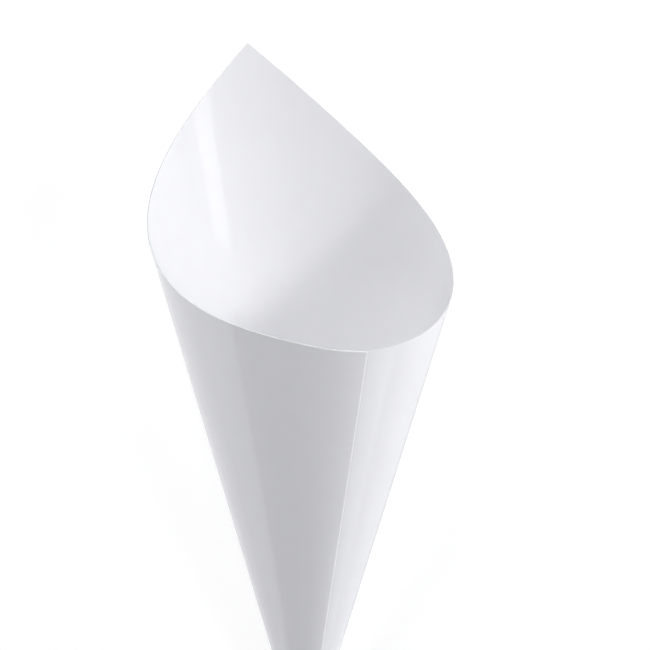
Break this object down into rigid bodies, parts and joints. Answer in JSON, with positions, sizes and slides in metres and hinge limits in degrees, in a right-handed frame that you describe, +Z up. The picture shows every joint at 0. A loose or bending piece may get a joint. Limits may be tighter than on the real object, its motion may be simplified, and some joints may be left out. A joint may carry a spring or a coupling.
{
  "type": "paper snack cone",
  "caption": "Pointed cone rolled from a sheet of white coated card with a glued lap and a tall pointed back to its mouth, for holding fries, sweets or other snacks.",
  "frame": {"origin": "on the surface the cone lies on, under the middle of its bounding box", "axes": "+Y along the line the cone rests on, from the tip towards the mouth and its peak; +Z up from the surface; the seam is on the upper side, to +X"},
  "size_m": [0.1034, 0.2502, 0.0688],
  "materials": {
    "card": "white clay-coated card with a soft gloss"
  },
  "bodies": {
    "root": {"paper_cone": "card"}
  },
  "joints": []
}
